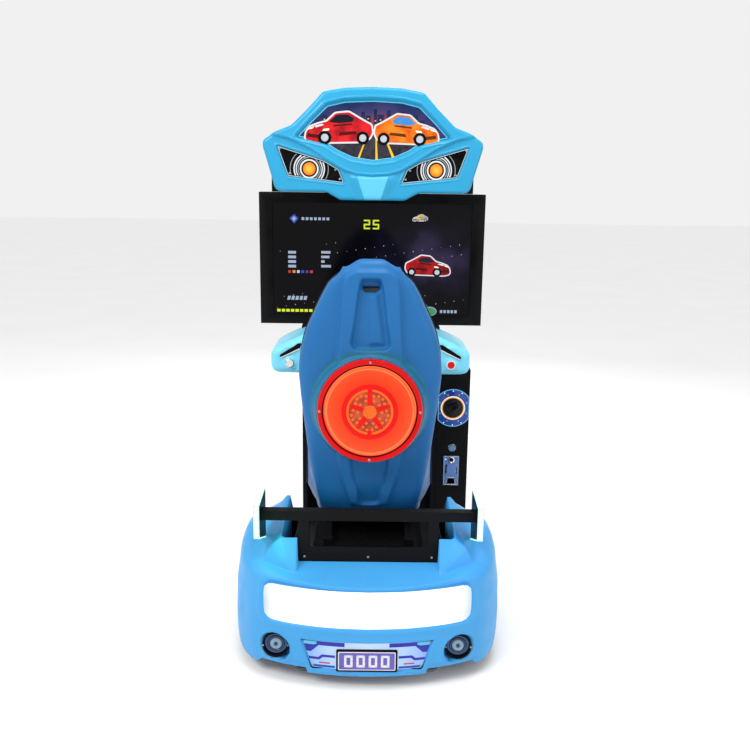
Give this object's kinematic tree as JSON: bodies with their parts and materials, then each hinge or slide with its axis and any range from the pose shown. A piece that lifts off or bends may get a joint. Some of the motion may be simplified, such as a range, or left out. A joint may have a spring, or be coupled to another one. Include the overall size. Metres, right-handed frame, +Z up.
{
  "type": "sitdown racing cabinet",
  "caption": "Sit-down driving game cabinet: moulded car-tail rear with spoiler, sliding bucket seat, dash with wheel, pedals, coin column, screen and car-nose header.",
  "frame": {"origin": "centre of the footprint, at the floor", "axes": "+Z up, +Y from the rear bumper towards the screen (the way the driver faces), +X to the driver's right, where the coin column stands"},
  "size_m": [0.92, 1.4802, 1.919],
  "materials": {
    "black_steel": "satin",
    "deck_board": "painted matte",
    "zinc_steel": "satin",
    "wheel_rubber": "matte",
    "blue_body": "satin",
    "white_light": "glowing",
    "panel_art": "glowing print",
    "plate_art": "glowing print",
    "black_plastic": "satin",
    "tail_lens": "gloss",
    "strip_light": "glowing",
    "seat_blue": "satin",
    "pad_cover": "matte",
    "red_ring": "gloss",
    "lamp_lens": "glowing",
    "black_board": "satin black paint",
    "grey_case": "satin",
    "coin_metal": "brushed",
    "lock_chrome": "polished",
    "shifter_blue": "gloss",
    "lever_chrome": "polished",
    "knob_black": "gloss",
    "header_blue": "gloss",
    "art_lens": "glowing print",
    "headlamp_art": "glowing print",
    "screen_glass": "glowing screen",
    "dash_cyan": "gloss",
    "dash_strip": "gloss",
    "bezel_chrome": "polished",
    "button_white": "gloss",
    "button_red": "gloss",
    "rim_leather": "matte",
    "spoke_alu": "satin",
    "shaft_steel": "turned",
    "pulley_alu": "turned",
    "belt_rubber": "matte",
    "motor_grey": "satin",
    "pedal_alu": "brushed"
  },
  "bodies": {
    "cabinet": {"base_frame": "black_steel", "button_bezels": "bezel_chrome", "cash_box": "zinc_steel", "coin_column": "black_steel", "dash_light_strips": "dash_strip", "dash_shell": "dash_cyan", "drive_belt": "belt_rubber", "endplate_light_strips": "strip_light", "feedback_motor": "motor_grey", "floor_deck": "deck_board", "game_electronics": "grey_case", "header_art_lens": "art_lens", "header_shell": "header_blue", "headlamp_lenses": "headlamp_art", "levelling_feet": "zinc_steel", "monitor_housing": "black_steel", "monitor_mast": "black_steel", "monitor_panel": "screen_glass", "number_panel": "panel_art", "number_plate": "plate_art", "pedal_box": "black_steel", "pedestal_body": "black_board", "power_inlet": "black_plastic", "rear_body_shell": "blue_body", "rear_light_lens": "white_light", "seat_lower_rails": "zinc_steel", "seat_pedestal": "black_steel", "shifter_housing": "black_plastic", "shifter_plate": "shifter_blue", "spoiler_endplates": "black_plastic", "spoiler_frame": "black_steel", "steering_column": "black_steel", "tail_lamp_bezels": "black_plastic", "tail_lamp_lenses": "tail_lens"},
    "seat": {"seat_upper_rails": "black_steel", "seat_shell": "seat_blue", "seat_base_pad": "pad_cover", "seat_back_pad": "pad_cover", "seat_lamp_ring": "red_ring", "seat_lamp_lens": "lamp_lens"},
    "seat_lever": {"seat_lock_lever": "black_steel"},
    "steering": {"wheel_rim": "rim_leather", "wheel_spokes": "spoke_alu", "steering_shaft": "shaft_steel", "drive_pulley": "pulley_alu"},
    "motor_rotor": {"motor_pulley": "pulley_alu"},
    "accelerator": {"accelerator_pedal": "pedal_alu"},
    "brake": {"brake_pedal": "pedal_alu"},
    "shifter": {"gear_lever": "lever_chrome", "gear_knob": "knob_black"},
    "start": {"start_button": "button_white"},
    "view": {"view_button": "button_red"},
    "coin_door": {"coin_door": "black_steel", "coin_plate": "coin_metal"},
    "coin_reject": {"coin_reject_button": "black_plastic"},
    "coin_lock": {"coin_door_lock": "lock_chrome"},
    "service_door": {"service_door": "black_board"},
    "wheel_left": {"transport_wheel_left": "wheel_rubber"},
    "wheel_right": {"transport_wheel_right": "wheel_rubber"}
  },
  "joints": [
    {"name": "seat_slide", "type": "slide", "parent": "cabinet", "child": "seat", "axis": [0, 1, 0], "range_m": [0, 0.12]},
    {"name": "seat_lever_lift", "type": "hinge", "parent": "seat", "child": "seat_lever", "pos_m": [0, -0.09, 0.352], "axis": [1, 0, 0], "range_deg": [0, 12], "stiffness_Nm_per_rad": 2, "springref_deg": -11.46},
    {"name": "steering_turn", "type": "hinge", "parent": "cabinet", "child": "steering", "pos_m": [0, 0.015, 0.8], "axis": [0, -0.9659, 0.2588], "range_deg": [-135, 135]},
    {"name": "motor_turn", "type": "hinge", "parent": "cabinet", "child": "motor_rotor", "pos_m": [0, 0.44019, 0.84136], "axis": [0, -0.9659, 0.2588], "range_deg": [-380, 380]},
    {"name": "accelerator_press", "type": "hinge", "parent": "cabinet", "child": "accelerator", "pos_m": [0.07, 0.56, 0.15], "axis": [-1, 0, 0], "range_deg": [0, 20], "stiffness_Nm_per_rad": 8, "springref_deg": -11.46},
    {"name": "brake_press", "type": "hinge", "parent": "cabinet", "child": "brake", "pos_m": [-0.07, 0.56, 0.15], "axis": [-1, 0, 0], "range_deg": [0, 15], "stiffness_Nm_per_rad": 20, "springref_deg": -8.59},
    {"name": "gear_shift", "type": "hinge", "parent": "cabinet", "child": "shifter", "pos_m": [0.35, 0.31, 0.636], "axis": [1, 0, 0], "range_deg": [-12, 12], "stiffness_Nm_per_rad": 4},
    {"name": "start_press", "type": "slide", "parent": "cabinet", "child": "start", "axis": [0, 1, 0], "range_m": [0, 0.003], "stiffness_N_per_m": 600, "springref_m": -0.002},
    {"name": "view_press", "type": "slide", "parent": "cabinet", "child": "view", "axis": [0, 1, 0], "range_m": [0, 0.003], "stiffness_N_per_m": 600, "springref_m": -0.002},
    {"name": "coin_door_swing", "type": "hinge", "parent": "cabinet", "child": "coin_door", "pos_m": [0.3968, 0.3378, 0.3825], "axis": [0, 0, 1], "range_deg": [0, 110]},
    {"name": "coin_reject_press", "type": "slide", "parent": "coin_door", "child": "coin_reject", "axis": [0, 1, 0], "range_m": [0, 0.003], "stiffness_N_per_m": 300, "springref_m": -0.002},
    {"name": "coin_lock_turn", "type": "hinge", "parent": "coin_door", "child": "coin_lock", "pos_m": [0.353, 0.338, 0.459], "axis": [0, 1, 0], "range_deg": [0, 90]},
    {"name": "service_door_swing", "type": "hinge", "parent": "cabinet", "child": "service_door", "pos_m": [-0.1995, 0.7355, 0.78], "axis": [0, 0, 1], "range_deg": [0, 100]},
    {"name": "wheel_left_roll", "type": "hinge", "parent": "cabinet", "child": "wheel_left", "pos_m": [-0.205, 0.56, 0.03], "axis": [1, 0, 0], "continuous": true},
    {"name": "wheel_right_roll", "type": "hinge", "parent": "cabinet", "child": "wheel_right", "pos_m": [0.205, 0.56, 0.03], "axis": [1, 0, 0], "continuous": true}
  ],
  "couplings": [
    {"joint": "motor_turn", "follows": "steering_turn", "ratio": 2.8}
  ]
}
